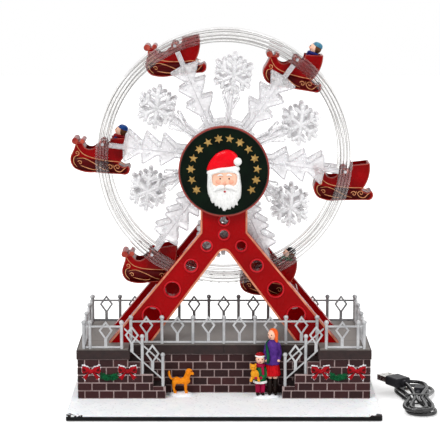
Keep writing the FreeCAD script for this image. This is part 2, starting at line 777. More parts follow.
def frame_outline(inset, y):
    """Wire of the A, each edge moved inwards by an inset."""
    foot = AXLE_HEIGHT - DECK
    out_run = FRAME_FOOT_OUT - FRAME_HEAD_HALF
    out_fall = foot - FRAME_SHOULDER_DROP
    out_shift = inset * math.hypot(out_run, out_fall) / out_fall
    in_run = FRAME_FOOT_IN
    in_fall = foot - FRAME_CROTCH_DROP
    in_shift = inset * math.hypot(in_run, in_fall) / in_fall
    head = FRAME_HEAD_HALF - inset
    shoulder = FRAME_SHOULDER_DROP + (out_shift - inset) * out_fall / out_run
    foot_out = FRAME_FOOT_OUT - out_shift
    foot_in = FRAME_FOOT_IN + in_shift
    crotch = FRAME_CROTCH_DROP - in_shift * in_fall / in_run
    half_angle = math.atan2(in_run, in_fall)
    tangent = (FRAME_CROTCH_RADIUS + inset) * math.cos(half_angle) / math.sin(half_angle)
    bend_x = tangent * math.sin(half_angle)
    bend_z = tangent * math.cos(half_angle)
    peak = (FRAME_CROTCH_RADIUS + inset) * (1 / math.sin(half_angle) - 1)

    def at(x, drop):
        return V(x, y, AXLE_HEIGHT - drop)

    edges = [
        Part.makeLine(at(-head, 0), at(-head, shoulder)),
        Part.makeLine(at(-head, shoulder), at(-foot_out, foot)),
        Part.makeLine(at(-foot_out, foot), at(-foot_in, foot)),
        Part.makeLine(at(-foot_in, foot), at(-bend_x, crotch + bend_z)),
        Part.Arc(at(-bend_x, crotch + bend_z), at(0, crotch + peak), at(bend_x, crotch + bend_z)).toShape(),
        Part.makeLine(at(bend_x, crotch + bend_z), at(foot_in, foot)),
        Part.makeLine(at(foot_in, foot), at(foot_out, foot)),
        Part.makeLine(at(foot_out, foot), at(head, shoulder)),
        Part.makeLine(at(head, shoulder), at(head, 0)),
        Part.Arc(at(head, 0), at(0, -head), at(-head, 0)).toShape(),
    ]
    return Part.Wire(edges)


def cover_disc(front):
    """Space on the outer face of a frame that the medallion or the gear housing takes."""
    centre = V(0, 0, MEDALLION_Z)
    if front:
        return disc_y(centre, MEDALLION_FACE, WHEEL_Y - FRAME_FRONT, MEDALLION_RADIUS + TRIM_GAP)
    return disc_y(centre, WHEEL_Y + FRAME_FRONT, motor_front() + MOTOR_LENGTH, HOUSING_RADIUS + TRIM_GAP)


def make_a_frame(front):
    """Red A-shaped plate with ringed holes; the plain face looks at the wheel."""
    inner = -FRAME_BACK if front else FRAME_BACK
    outer = -FRAME_FRONT if front else FRAME_FRONT
    plate = Part.Face(frame_outline(0.0, WHEEL_Y + inner)).extrude(V(0, outer - inner, 0))
    low = WHEEL_Y + min(inner, outer)
    high = WHEEL_Y + max(inner, outer)
    rings = []
    holes = []
    for x, drop, radius in frame_holes():
        centre = V(x, 0, AXLE_HEIGHT - drop)
        y0 = WHEEL_Y + outer - (HOLE_RIM_PROUD if front else 0)
        rings.append(disc_y(centre, y0, y0 + HOLE_RIM_PROUD, radius + HOLE_RIM_WIDE).cut(cover_disc(front)))
        holes.append(disc_y(centre, low - PAST, high + PAST, radius))
    holes.append(disc_y(AXLE, low, high, BUSH_RADIUS))
    holes += leg_screw_holes(front)
    return cut(fuse([plate] + rings), holes)


def leg_screw_places():
    """Where screws come up through the deck into the feet of the frames, as (x, y)."""
    x = (FRAME_FOOT_OUT + FRAME_FOOT_IN) / 2
    middle = (FRAME_FRONT + FRAME_BACK) / 2
    return [(side * x, WHEEL_Y + end * middle) for side in (-1, 1) for end in (-1, 1)]


def leg_screw_holes(front):
    """Screw holes in the feet of one frame."""
    wanted = [(x, y) for x, y in leg_screw_places() if (y < WHEEL_Y) == front]
    return [disc_z(x, y, DECK, DECK + SCREW_REACH, SCREW_RADIUS + SCREW_CLEAR) for x, y in wanted]


def foot_screw_holes(z0, z1):
    """The same screws' holes through the deck."""
    return [disc_z(x, y, z0, z1, SCREW_RADIUS + SCREW_CLEAR) for x, y in leg_screw_places()]


def make_frame_trim():
    """Copper edging on the outer faces of both frames, open at the feet."""
    strips = []
    for outer, grow in ((-FRAME_FRONT, -TRIM_PROUD), (FRAME_FRONT, TRIM_PROUD)):
        y = WHEEL_Y + outer
        whole = Part.Face(frame_outline(0.0, y)).extrude(V(0, grow, 0))
        inside = Part.Face(frame_outline(TRIM_WIDE, y)).extrude(V(0, grow, 0))
        strips += cut(whole, [inside, cover_disc(outer < 0)]).Solids
    return group(strips)


def make_bushes():
    """Two flanged bushes in the frame heads, which carry the axle."""
    bushes = []
    for side in (-1, 1):
        outer = side * FRAME_FRONT
        inner = side * FRAME_BACK
        tip = side * (WHEEL_HALF + BUSH_GAP)
        sleeve = disc_y(AXLE, WHEEL_Y + min(outer, inner), WHEEL_Y + max(outer, inner), BUSH_RADIUS)
        flange = disc_y(AXLE, WHEEL_Y + min(inner, tip), WHEEL_Y + max(inner, tip), BUSH_FLANGE)
        bore = disc_y(AXLE, WHEEL_Y - FRAME_FRONT, WHEEL_Y + FRAME_FRONT, AXLE_RADIUS + AXLE_CLEAR)
        bushes.append(fuse([sleeve, flange]).cut(bore))
    return group(bushes)


# Wheel

def make_axle():
    """Steel axle from inside the front frame to the end of the driven gear."""
    start = WHEEL_Y - FRAME_FRONT + AXLE_RADIUS / 4
    return disc_y(AXLE, start, GEAR_FRONT + GEAR_WIDE + AXLE_RADIUS / 2, AXLE_RADIUS)


def make_rim(front):
    """Clear ring with raised ribs on its outer face and bores for the seat pins."""
    side = -1 if front else 1
    outer = WHEEL_Y + side * WHEEL_HALF
    inner = outer - side * RIM_THICK
    root = outer - side * RIM_RIB
    hole = RIM_RADIUS - RIM_BAND
    pitch = RIM_BAND / (RIM_RIB_COUNT * 2 - 1)
    profile = [(hole, inner), (hole, outer)]
    for index in range(RIM_RIB_COUNT - 1):
        start = hole + (2 * index + 1) * pitch
        profile += [(start, outer), (start + 0.2 * pitch, root)]
        profile += [(start + 0.8 * pitch, root), (start + pitch, outer)]
    profile += [(RIM_RADIUS, outer), (RIM_RADIUS, inner)]
    ring = turned(profile, AXLE)
    return cut(ring, pin_bores())


def pin_bores():
    """Bores in a rim for the six seat pins."""
    bores = []
    for index in range(SEAT_COUNT):
        bores.append(disc_y(pivot(index), WHEEL_Y - WHEEL_HALF - PAST, WHEEL_Y + WHEEL_HALF + PAST, PIN_RADIUS))
    return bores


def arm_angle(index):
    """Angle of a seat's arm from the +X direction, in degrees, anticlockwise from the front."""
    return FIRST_ARM_ANGLE + index * 360.0 / SEAT_COUNT


def pivot(index):
    """Pivot point of a sleigh in the middle of the wheel."""
    angle = math.radians(arm_angle(index))
    return V(PIVOT_RADIUS * math.cos(angle), WHEEL_Y, AXLE_HEIGHT + PIVOT_RADIUS * math.sin(angle))


def arm_shapes(y0, y1):
    """One main arm along +X from the axle: a stem, a rod and tiers of barbs that widen to the rim."""
    z = AXLE_HEIGHT
    last = ARM_TIER_FIRST + (ARM_TIER_COUNT - 1) * ARM_TIER_PITCH
    run = ARM_TIP_SIDE / math.tan(math.radians(ARM_BAR_ANGLE))
    stem = slab_xz([(HUB_RADIUS * 0.5, z - ARM_STEM_HALF), (last - run, z - ARM_STEM_HALF),
                    (last, z - ARM_ROD_HALF), (last, z + ARM_ROD_HALF),
                    (last - run, z + ARM_STEM_HALF), (HUB_RADIUS * 0.5, z + ARM_STEM_HALF)], y0, y1)
    reach = math.sqrt((RIM_RADIUS - RIM_BAND) ** 2 - ARM_ROD_HALF ** 2)
    link = box(last - PAST, reach, y0, y1, z - ARM_ROD_HALF, z + ARM_ROD_HALF)
    shapes = [stem, link]
    shoulder = ARM_TIP_SIDE - ARM_BARB_BLUNT * ARM_TIP_SIDE / run
    end = ARM_TIP_SIDE - ARM_BARB_BLUNT
    for index in range(ARM_TIER_COUNT):
        tip = ARM_TIER_FIRST + index * ARM_TIER_PITCH
        shapes.append(slab_xz([(tip - run, z), (tip - ARM_BARB_BLUNT, z + shoulder), (tip, z + end),
                               (tip + ARM_BARB_LEAN, z), (tip, z - end),
                               (tip - ARM_BARB_BLUNT, z - shoulder)], y0, y1))
    return shapes


def flake_shapes(y0, y1):
    """One small snowflake on its stem, along +X from the axle."""
    z = AXLE_HEIGHT
    centre = FLAKE_RADIUS
    half = FLAKE_STEM / 2
    shapes = [box(HUB_RADIUS * 0.5, centre, y0, y1, z - half, z + half)]
    for index in range(6):
        angle = math.radians(60.0 * index)
        end = (centre + FLAKE_REACH * math.cos(angle), z + FLAKE_REACH * math.sin(angle))
        shapes.append(bar_xz((centre, z), end, FLAKE_BAR, y0, y1))
        root = (centre + FLAKE_TWIG_AT * math.cos(angle), z + FLAKE_TWIG_AT * math.sin(angle))
        for side in (-1, 1):
            lean = angle + side * math.radians(FLAKE_TWIG_ANGLE)
            tip = (root[0] + FLAKE_TWIG * math.cos(lean), root[1] + FLAKE_TWIG * math.sin(lean))
            shapes.append(bar_xz(root, tip, FLAKE_TWIG_BAR, y0, y1))
    return shapes


def make_snowflake(front):
    """Clear moulding inside a rim: hub plate, six main arms and six small snowflakes."""
    side = -1 if front else 1
    outer = WHEEL_Y + side * WHEEL_HALF
    inner = outer - side * ARM_THICK
    low = min(outer, inner)
    high = max(outer, inner)
    middle = (outer + inner) / 2
    arm = fuse(arm_shapes(low, high))
    flake = fuse(flake_shapes(middle - FLAKE_THICK / 2, middle + FLAKE_THICK / 2))
    shapes = [disc_y(AXLE, low, high, HUB_RADIUS)]
    for index in range(SEAT_COUNT):
        shapes.append(about_axle(arm, arm_angle(index)))
        shapes.append(about_axle(flake, arm_angle(index) + 180.0 / SEAT_COUNT))
    return fuse(shapes).cut(disc_y(AXLE, low - PAST, high + PAST, AXLE_RADIUS))


def make_hub_drum():
    """Hollow drum between the two hub plates, fast on the axle."""
    inner = WHEEL_HALF - ARM_THICK
    drum = disc_y(AXLE, WHEEL_Y - inner, WHEEL_Y + inner, DRUM_RADIUS)
    hollow = disc_y(AXLE, WHEEL_Y - inner + DRUM_WALL, WHEEL_Y + inner - DRUM_WALL, DRUM_RADIUS - DRUM_WALL)
    core = disc_y(AXLE, WHEEL_Y - inner, WHEEL_Y + inner, AXLE_RADIUS + DRUM_WALL)
    return fuse([drum.cut(hollow), core]).cut(disc_y(AXLE, WHEEL_Y - inner, WHEEL_Y + inner, AXLE_RADIUS))


def make_pivot_pins():
    """Six steel pins across the rims, one for each sleigh."""
    pins = []
    for index in range(SEAT_COUNT):
        pins.append(disc_y(pivot(index), WHEEL_Y - WHEEL_HALF, WHEEL_Y + WHEEL_HALF, PIN_RADIUS))
    return group(pins)


def gear_blank(teeth, y0, phase):
    """Spur gear with involute teeth about the origin's Y axis; phase turns it in tooth pitches."""
    pitch_radius = GEAR_MODULE * teeth / 2
    base_radius = pitch_radius * math.cos(math.radians(PRESSURE_ANGLE))
    tip_radius = pitch_radius + GEAR_MODULE
    root_radius = pitch_radius - 1.25 * GEAR_MODULE
    start_radius = max(base_radius, root_radius)
    pressure = math.radians(PRESSURE_ANGLE)
    pitch_involute = math.tan(pressure) - pressure
    half_tooth = math.pi / (2 * teeth) - GEAR_BACKLASH / (2 * pitch_radius)
    steps = 4
    flank = []
    for step in range(steps + 1):
        radius = start_radius + (tip_radius - start_radius) * step / steps
        turn = math.acos(base_radius / radius)
        flank.append((radius, half_tooth + pitch_involute - (math.tan(turn) - turn)))
    corners = []
    for index in range(teeth):
        middle = 2 * math.pi * (index + phase) / teeth
        corners.append((root_radius, middle - flank[0][1]))
        corners += [(radius, middle - angle) for radius, angle in flank]
        corners += [(radius, middle + angle) for radius, angle in reversed(flank)]
        corners.append((root_radius, middle + flank[0][1]))
    points = [(radius * math.cos(angle), radius * math.sin(angle)) for radius, angle in corners]
    return slab_xz(points, y0, y0 + GEAR_WIDE)


def make_driven_gear():
    """Large gear on the rear end of the axle, with a tooth pointing straight down."""
    phase = (-90.0 / 360.0) * WHEEL_TEETH
    gear = moved(gear_blank(WHEEL_TEETH, GEAR_FRONT, phase), 0, 0, AXLE_HEIGHT)
    return gear.cut(disc_y(AXLE, GEAR_FRONT - PAST, GEAR_FRONT + GEAR_WIDE + PAST, AXLE_RADIUS))


def motor_axis():
    """A point on the motor's shaft, below the axle."""
    return V(0, WHEEL_Y, AXLE_HEIGHT - GEAR_CENTRES)


def make_pinion():
    """Small gear on the motor shaft, with a tooth space pointing straight up."""
    phase = (90.0 / 360.0) * PINION_TEETH + 0.5
    axis = motor_axis()
    gear = moved(gear_blank(PINION_TEETH, GEAR_FRONT, phase), axis.x, 0, axis.z)
    bore = disc_y(axis, GEAR_FRONT - PAST, GEAR_FRONT + GEAR_WIDE + PAST, MOTOR_SHAFT_RADIUS)
    shaft = disc_y(axis, GEAR_FRONT, motor_front() + SHAFT_DEPTH, MOTOR_SHAFT_RADIUS)
    return fuse([gear.cut(bore), shaft])


def motor_front():
    """Depth of the motor's front face, behind the gears."""
    return GEAR_FRONT + GEAR_WIDE + 2 * GEAR_GAP


def make_motor():
    """Round geared motor, fixed to the back wall of the housing."""
    axis = motor_axis()
    start = motor_front()
    body = disc_y(axis, start, start + MOTOR_LENGTH, MOTOR_RADIUS)
    nose = disc_y(axis, start - GEAR_GAP, start, MOTOR_NOSE_RADIUS)
    bore = disc_y(axis, start - GEAR_GAP, start + SHAFT_DEPTH + GEAR_GAP, MOTOR_SHAFT_RADIUS + AXLE_CLEAR)
    return fuse([body, nose]).cut(bore)


def make_gear_housing(tunnel):
    """Round cup on the back of the rear frame, over the motor and gears."""
    centre = V(0, 0, MEDALLION_Z)
    y0 = WHEEL_Y + FRAME_FRONT
    floor = motor_front() + MOTOR_LENGTH
    cup = disc_y(centre, y0, floor + HOUSING_WALL, HOUSING_RADIUS)
    hollow = disc_y(centre, y0, floor, HOUSING_RADIUS - HOUSING_WALL)
    return cut(cup, [hollow, tunnel])


# Wire from the motor to the base

def leg_outer(drop):
    """Distance of a leg's outer edge from the middle, at a drop below the axle."""
    foot = AXLE_HEIGHT - DECK
    share = (drop - FRAME_SHOULDER_DROP) / (foot - FRAME_SHOULDER_DROP)
    return FRAME_HEAD_HALF + (FRAME_FOOT_OUT - FRAME_HEAD_HALF) * share


def wire_points():
    """Route of the motor wire from the housing down the back of the rear frame's left leg."""
    y = WHEEL_Y + FRAME_FRONT + max(TRIM_PROUD, HOLE_RIM_PROUD) + WIRE_CLEAR + WIRE_RADIUS
    out_run = FRAME_FOOT_OUT - FRAME_HEAD_HALF
    out_fall = AXLE_HEIGHT - DECK - FRAME_SHOULDER_DROP
    inset = (TRIM_WIDE + WIRE_CLEAR + WIRE_RADIUS) * math.hypot(out_run, out_fall) / out_fall
    inner = HOUSING_RADIUS - HOUSING_WALL
    start_z = MEDALLION_Z - math.sqrt(inner ** 2 - WIRE_START ** 2)
    knee = AXLE_HEIGHT - FRAME_SHOULDER_DROP
    foot_x = leg_outer(AXLE_HEIGHT - DECK - WIRE_BEND) - inset
    return [V(-WIRE_START, y, start_z), V(inset - FRAME_HEAD_HALF, y, knee), V(-foot_x, y, DECK + WIRE_BEND),
            V(-foot_x, y, WALL_TOP - WIRE_BEND)]


def wire_tunnel():
    """Room for the wire in what it passes through."""
    return tube_along(wire_points(), WIRE_RADIUS + WIRE_CLEAR, "wire hole")


def tube_along(points, radius, label):
    """Round tube along straight runs joined by tangent arcs."""
    edges = []
    radii = []
    start = points[0]
    for before, corner, after in zip(points, points[1:], points[2:]):
        into = corner - before
        away = after - corner
        turn = into.getAngle(away)
        bend = 0.45 * min(into.Length, away.Length) / math.tan(turn / 2)
        radii.append(round(bend, 1))
        back = 0.45 * min(into.Length, away.Length)
        into.normalize()
        away.normalize()
        entry = corner - into * back
        leave = corner + away * back
        inwards = away - into
        inwards.normalize()
        middle = corner + inwards * bend * (1 / math.cos(turn / 2) - 1)
        edges.append(Part.LineSegment(start, entry).toShape())
        edges.append(Part.Arc(entry, middle, leave).toShape())
        start = leave
    edges.append(Part.LineSegment(start, points[-1]).toShape())
    path = Part.Wire(edges)
    section = Part.Wire(Part.makeCircle(radius, points[0], points[1] - points[0]))
    tube = path.makePipeShell([section], True, False)
    ratio = tube.Volume / (math.pi * radius ** 2 * path.Length)
    print(label, "length", round(path.Length, 1), "bend radii", radii, "volume ratio", round(ratio, 4))
    return tube


def make_motor_wire():
    """Two-core wire from the motor down to the base."""
    return tube_along(wire_points(), WIRE_RADIUS, "motor wire")


# Medallion

def make_medallion_disc():
    """Green disc fixed to the head of the front frame."""
    centre = V(0, 0, MEDALLION_Z)
    return disc_y(centre, MEDALLION_FACE, WHEEL_Y - FRAME_FRONT, MEDALLION_RADIUS - MEDALLION_RIM)


def make_medallion_rim():
    """Copper-red hoop round the disc, a little proud of its face."""
    centre = V(0, 0, MEDALLION_Z)
    low = MEDALLION_FACE - MEDALLION_RIM_PROUD
    hoop = disc_y(centre, low, WHEEL_Y - FRAME_FRONT, MEDALLION_RADIUS)
    hole = disc_y(centre, low, WHEEL_Y - FRAME_FRONT, MEDALLION_RADIUS - MEDALLION_RIM)
    return hoop.cut(hole)


def star(x, z, points, inner, turn):
    """Flat star on the medallion's face."""
    corners = []
    for index in range(2 * points):
        radius = ORNAMENT_SIZE if index % 2 == 0 else inner
        angle = math.radians(turn + 180.0 * index / points)
        corners.append((x + radius * math.cos(angle), z + radius * math.sin(angle)))
    return slab_xz(corners, MEDALLION_FACE - ORNAMENT_PROUD, MEDALLION_FACE)


def make_ornaments():
    """Gold stars of five and six points in an arc round the disc."""
    stars = []
    radius = MEDALLION_RADIUS - MEDALLION_RIM - ORNAMENT_INSET
    first = 90.0 + ORNAMENT_ARC / 2
    for index in range(ORNAMENT_COUNT):
        angle = first - ORNAMENT_ARC * index / (ORNAMENT_COUNT - 1)
        x = radius * math.cos(math.radians(angle))
        z = MEDALLION_Z + radius * math.sin(math.radians(angle))
        if index % 2 == 0:
            stars.append(star(x, z, 6, ORNAMENT_SIZE * STAR_SIX_WAIST, angle))
        else:
            stars.append(star(x, z, 5, ORNAMENT_SIZE * STAR_FIVE_WAIST, angle))
    return group(stars)


def on_disc(share):
    """A length from its share of the disc's radius, in hundredths."""
    return share * (MEDALLION_RADIUS - MEDALLION_RIM) / 100


def relief(points, proud):
    """Closed relief on the medallion through points of a smooth outline, in hundredths of the disc's radius."""
    knots = [V(on_disc(x), MEDALLION_FACE, MEDALLION_Z + on_disc(z)) for x, z in points]
    curve = Part.BSplineCurve()
    curve.interpolate(knots, PeriodicFlag=True)
    return Part.Face(Part.Wire(curve.toShape())).extrude(V(0, -proud, 0))


def face_disc():
    """Round face, before the brim and the hat are cut from it."""
    centre = V(on_disc(-4.3), 0, MEDALLION_Z + on_disc(-15.0))
    return disc_y(centre, MEDALLION_FACE - RELIEF_THICK, MEDALLION_FACE, on_disc(27.1))


def hat_brim():
    """Fur brim of the hat, a little proud of the rest."""
    outline = [(-40.9, 4.6), (-36.9, 12.7), (-20.2, 15.6), (0.0, 16.1), (20.2, 15.0), (32.9, 11.5), (35.7, 5.2),
               (28.8, 1.7), (11.5, 3.5), (-5.8, 4.0), (-23.1, 2.3), (-35.7, 0.0)]
    return relief(outline, RELIEF_THICK + BRIM_PROUD)


def make_santa_face():
    """Smooth face under the brim."""
    reach = MEDALLION_RADIUS
    below = box(-reach, reach, MEDALLION_FACE - RELIEF_THICK, MEDALLION_FACE, MEDALLION_Z - reach,
                MEDALLION_Z + on_disc(8.1))
    return face_disc().common(below).cut(hat_brim())


def make_santa_hat():
    """Soft red hat that leans to the right."""
    outline = [(-38.6, 11.5), (-30.0, 29.4), (-14.4, 42.7), (1.7, 48.4), (17.3, 45.0), (27.7, 34.6),
               (30.5, 23.1), (28.2, 12.1), (8.6, 9.8), (-17.3, 9.8)]
    return cut(relief(outline, RELIEF_THICK), [hat_brim(), bobble()])


def bobble():
    """Round bobble at the tip of the hat, flat against the disc."""
    ball = Part.makeSphere(on_disc(9.8), V(on_disc(30.5), MEDALLION_FACE, MEDALLION_Z + on_disc(27.1)))
    reach = MEDALLION_RADIUS
    front = box(-reach, reach, MEDALLION_FACE - reach, MEDALLION_FACE, MEDALLION_Z - reach, MEDALLION_Z + reach)
    return ball.common(front)


def make_santa_beard():
    """Beard around the lower face."""
    outline = [(-35.7, -2.9), (-40.3, -23.1), (-38.6, -47.6), (-29.4, -70.6), (-13.3, -88.2), (5.8, -92.2),
               (22.5, -79.5), (33.4, -58.8), (38.6, -35.7), (36.3, -14.4), (32.9, -1.7), (14.4, -1.7),
               (-14.4, -4.0)]
    return cut(relief(outline, RELIEF_THICK), [face_disc(), hat_brim()])


def make_santa_fur():
    """The brim and the bobble."""
    return group([hat_brim(), bobble().cut(hat_brim())])


# Sleighs and riders

def on_sleigh(x, z):
    """A point in the plane y = 0, in hundredths of the sleigh's length from a point below its pivot."""
    return V(x * SLEIGH_LENGTH / 100 - SLEIGH_AHEAD, 0, z * SLEIGH_LENGTH / 100 - SLEIGH_DROP)


def sleigh_arc(start, middle, end):
    """Arc through three points of the sleigh."""
    return Part.Arc(on_sleigh(*start), on_sleigh(*middle), on_sleigh(*end)).toShape()


def sleigh_line(start, end):
    """Straight edge between two points of the sleigh."""
    return Part.makeLine(on_sleigh(*start), on_sleigh(*end))


def sleigh_side():
    """Outline of a sleigh, from the top of its rolled front round the bottom, the tail and the back."""
    return Part.Face(Part.Wire([
        sleigh_arc((-44.0, 8.5), (-46.2, 0.0), (-50.4, -9.4)),
        sleigh_arc((-50.4, -9.4), (-53.2, -24.4), (-45.3, -36.8)),
        sleigh_arc((-45.3, -36.8), (-30.8, -42.3), (-12.2, -43.6)),
        sleigh_line((-12.2, -43.6), (37.3, -47.2)),
        sleigh_arc((37.3, -47.2), (48.9, -41.5), (46.3, -32.1)),
        sleigh_arc((46.3, -32.1), (38.1, -34.0), SLEIGH_BACK_LOW),
        sleigh_arc(SLEIGH_BACK_LOW, (43.4, -7.5), SLEIGH_BACK_TOP),
        sleigh_line(SLEIGH_BACK_TOP, (15.8, 15.6)),
        sleigh_arc((15.8, 15.6), (13.7, 7.3), (6.8, 3.4)),
        sleigh_line((6.8, 3.4), (-9.8, 2.1)),
        sleigh_arc((-9.8, 2.1), (-20.1, -3.0), SLEIGH_DASH),
        sleigh_line(SLEIGH_DASH, (-33.3, 9.4)),
        sleigh_line((-33.3, 9.4), (-44.0, 8.5)),
    ]))


def back_inside(height):
    """Inner face of a sleigh's sloping back, at a height above the pivot."""
    low = on_sleigh(*SLEIGH_BACK_LOW)
    top = on_sleigh(*SLEIGH_BACK_TOP)
    slope = (top.x - low.x) / (top.z - low.z)
    return low.x + (height - low.z) * slope - SLEIGH_WALL * math.hypot(1, slope)


def make_sleigh():
    """Hollow sleigh about its pivot, open at the top, with a bench and rolled front."""
    half = SLEIGH_WIDTH / 2
    inner = half - SLEIGH_WALL
    across = V(0, SLEIGH_WIDTH, 0)
    body = moved(sleigh_side().extrude(across), 0, -half, 0)
    roll = Part.makeCylinder(ROLL_RADIUS, SLEIGH_WIDTH, on_sleigh(-45.1, 11.3), across)
    curl = Part.makeCylinder(CURL_RADIUS, SLEIGH_WIDTH, on_sleigh(-32.1, 10.5), across)
    low = on_sleigh(-45.1, 7.7)
    high = on_sleigh(-32.1, 10.3)
    neck = box(low.x, high.x, -half, half, low.z, high.z)
    lug = rod(V(0, -half, 0), V(0, half, 0), LUG_RADIUS)
    ear = box(-LUG_RADIUS, LUG_RADIUS, -half, half, -LUG_RADIUS - SLEIGH_DROP, 0)
    room = sleigh_side().makeOffset2D(-SLEIGH_WALL).extrude(V(0, 2 * inner, 0))
    top = SLEIGH_LENGTH / 4
    front = on_sleigh(*SLEIGH_DASH).x + SLEIGH_WALL / 2
    sill = -LUG_RADIUS - SLEIGH_DROP
    mouth = slab_xz([(front, top), (front, sill), (back_inside(sill), sill), (back_inside(top), top)],
                    -inner, inner)
    bench = box(SEAT_FRONT, SLEIGH_LENGTH, -half, half, -SLEIGH_LENGTH, SEAT_HEIGHT)
    bore = rod(V(0, -half, 0), V(0, half, 0), PIN_RADIUS + PIN_CLEAR)
    shell = fuse([body, moved(roll, 0, -half, 0), moved(curl, 0, -half, 0), neck, lug, ear])
    return cut(shell, [moved(room, 0, -inner, 0).cut(bench), mouth, bore])


def make_rider():
    """Seated figure that leans back, with a scarf, a round head and a hat, about the sleigh's pivot."""
    x = back_inside(SEAT_HEIGHT) - RIDER_GAP - RIDER_BODY
    lap = disc_z(x, 0, SEAT_HEIGHT, SEAT_HEIGHT + RIDER_LAP, RIDER_BODY)
    way = V(RIDER_LEAN, 0, 1)
    way.normalize()
    hip = V(x, 0, SEAT_HEIGHT + RIDER_LAP * 0.7)
    body = Part.makeCone(RIDER_BODY * 0.85, RIDER_NECK, RIDER_TALL, hip, way)
    neck = hip + way * RIDER_TALL
    scarf = Part.makeCylinder(RIDER_NECK + 0.7, RIDER_LAP, neck - way * RIDER_LAP * 0.8, way)
    middle = neck + way * RIDER_HEAD * 0.9
    head = Part.makeSphere(RIDER_HEAD, middle)
    hat = Part.makeCone(RIDER_HEAD * 1.06, RIDER_HEAD * 0.4, RIDER_HEAD, middle + way * RIDER_HEAD * 0.25, way)
    return fuse([lap, body, scarf, head, hat])


def hung(shape, index):
    """A sleigh's piece at its place on the wheel, with its own slight tilt."""
    copy = shape.copy()
    copy.rotate(V(0, 0, 0), V(0, 1, 0), SLEIGH_TILTS[index])
    copy.translate(pivot(index))
    return copy


# Back of the base

def make_board():
    """Circuit board on its posts, with a chip and two tall cans."""
    corner = board_corner()
    top = corner.z + BOARD_THICK
    board = box(corner.x, corner.x + BOARD_LENGTH, corner.y, corner.y + BOARD_WIDTH, corner.z, top)
    middle = corner.y + BOARD_WIDTH / 2
    chip_x = corner.x + BOARD_LENGTH / 3
    can_x = corner.x + BOARD_LENGTH * 2 / 3
    half = CHIP_SIZE / 2
    parts = [board, box(chip_x - half, chip_x + half, middle - half, middle + half, top, top + CHIP_TALL)]
    for side in (-1, 1):
        parts.append(disc_z(can_x, middle + side * CAN_PITCH / 2, top, top + CAN_TALL, CAN_RADIUS))
    return fuse(parts)


def make_speaker():
    """Speaker, face down over the grille: a wide frame and a smaller magnet."""
    middle = speaker_centre()
    frame_top = PLATE_TOP + SPEAKER_FRAME_THICK
    basket = disc_z(middle.x, middle.y, PLATE_TOP, frame_top, SPEAKER_RADIUS)
    cone = disc_z(middle.x, middle.y, PLATE_TOP, PLATE_TOP + SPEAKER_CONE_DEEP, SPEAKER_RADIUS - SPEAKER_RIM)
    magnet = disc_z(middle.x, middle.y, frame_top, PLATE_TOP + SPEAKER_THICK, MAGNET_RADIUS)
    return fuse([basket, magnet]).cut(cone)


def make_dc_socket():
    """Round power socket with a centre pin, set in the rear wall."""
    centre = V(SOCKET_X, 0, SOCKET_Z)
    face = BUILDING_BACK + SOCKET_FLANGE_THICK
    end = BUILDING_BACK - SOCKET_LENGTH
    flange = disc_y(centre, BUILDING_BACK, face, SOCKET_FLANGE)
    barrel = disc_y(centre, end, BUILDING_BACK, SOCKET_BARREL - SOCKET_CLEAR)
    bore = disc_y(centre, end + SOCKET_BACK, face, SOCKET_BORE)
    pin = disc_y(centre, end, BUILDING_BACK, SOCKET_PIN)
    return fuse([fuse([flange, barrel]).cut(bore), pin])


def make_switch_body():
    """Slide switch case behind the rear wall, with a slot for its slider."""
    half = SWITCH_LENGTH / 2
    y1 = BUILDING_BACK - WALL_THICK
    case = box(SWITCH_X - half, SWITCH_X + half, y1 - SWITCH_DEEP, y1, SWITCH_Z - SWITCH_HIGH / 2,
               SWITCH_Z + SWITCH_HIGH / 2)
    slot = SLIDER_LENGTH / 2 + SWITCH_TRAVEL + SWITCH_CLEAR
    high = SLIDER_HIGH / 2 + SWITCH_CLEAR
    pocket = box(SWITCH_X - slot, SWITCH_X + slot, y1 - SWITCH_DEEP / 2, y1, SWITCH_Z - high, SWITCH_Z + high)
    return case.cut(pocket)


def make_switch_slider():
    """Slider of the power switch, at its off end."""
    half = SLIDER_LENGTH / 2
    middle = SWITCH_X - SWITCH_TRAVEL / 2
    y0 = BUILDING_BACK - WALL_THICK - SWITCH_DEEP / 2 + SWITCH_CLEAR
    grip = box(middle - half, middle + half, y0, BUILDING_BACK + SLIDER_PROUD, SWITCH_Z - SLIDER_HIGH / 2,
               SWITCH_Z + SLIDER_HIGH / 2)
    top = [edge for edge in grip.Edges if edge.CenterOfMass.y > BUILDING_BACK + SLIDER_PROUD - 0.01]
    return grip.makeChamfer(SLIDER_CHAMFER, top)


def screw(x, y, z, up):
    """Pan-headed screw, head down; z is where its shank starts and up is the shank's length."""
    shank = disc_z(x, y, z, z + up, SCREW_RADIUS)
    head = disc_z(x, y, z - SCREW_HEAD_THICK, z, SCREW_HEAD_RADIUS)
    return fuse([shank, head])


def make_screws():
    """Screws of the bottom plate and, from under the deck, of the frames' feet."""
    screws = []
    for x, y in screw_places():
        length = PLATE_TOP - FOOT_PROUD - SCREW_HEAD_THICK + SCREW_REACH - SCREW_CLEAR
        screws.append(screw(x, y, FOOT_PROUD + SCREW_HEAD_THICK, length))
    for x, y in leg_screw_places():
        screws.append(screw(x, y, WALL_TOP, DECK - WALL_TOP + SCREW_REACH - SCREW_CLEAR))
    return group(screws)


# Figures in the yard

def mound(x, y, radius):
    """Low heap of snow under a figure, cut off just before the wall behind it."""
    heap = Part.makeCone(radius, radius - MOUND_TAPER, MOUND_TALL, V(x, y, GROUND), V(0, 0, 1))
    keep = box(x - radius, x + radius, y - MOUND_FRONT, CENTRE_FRONT - MOUND_GAP, GROUND, GROUND + MOUND_TALL)
    return heap.common(keep)


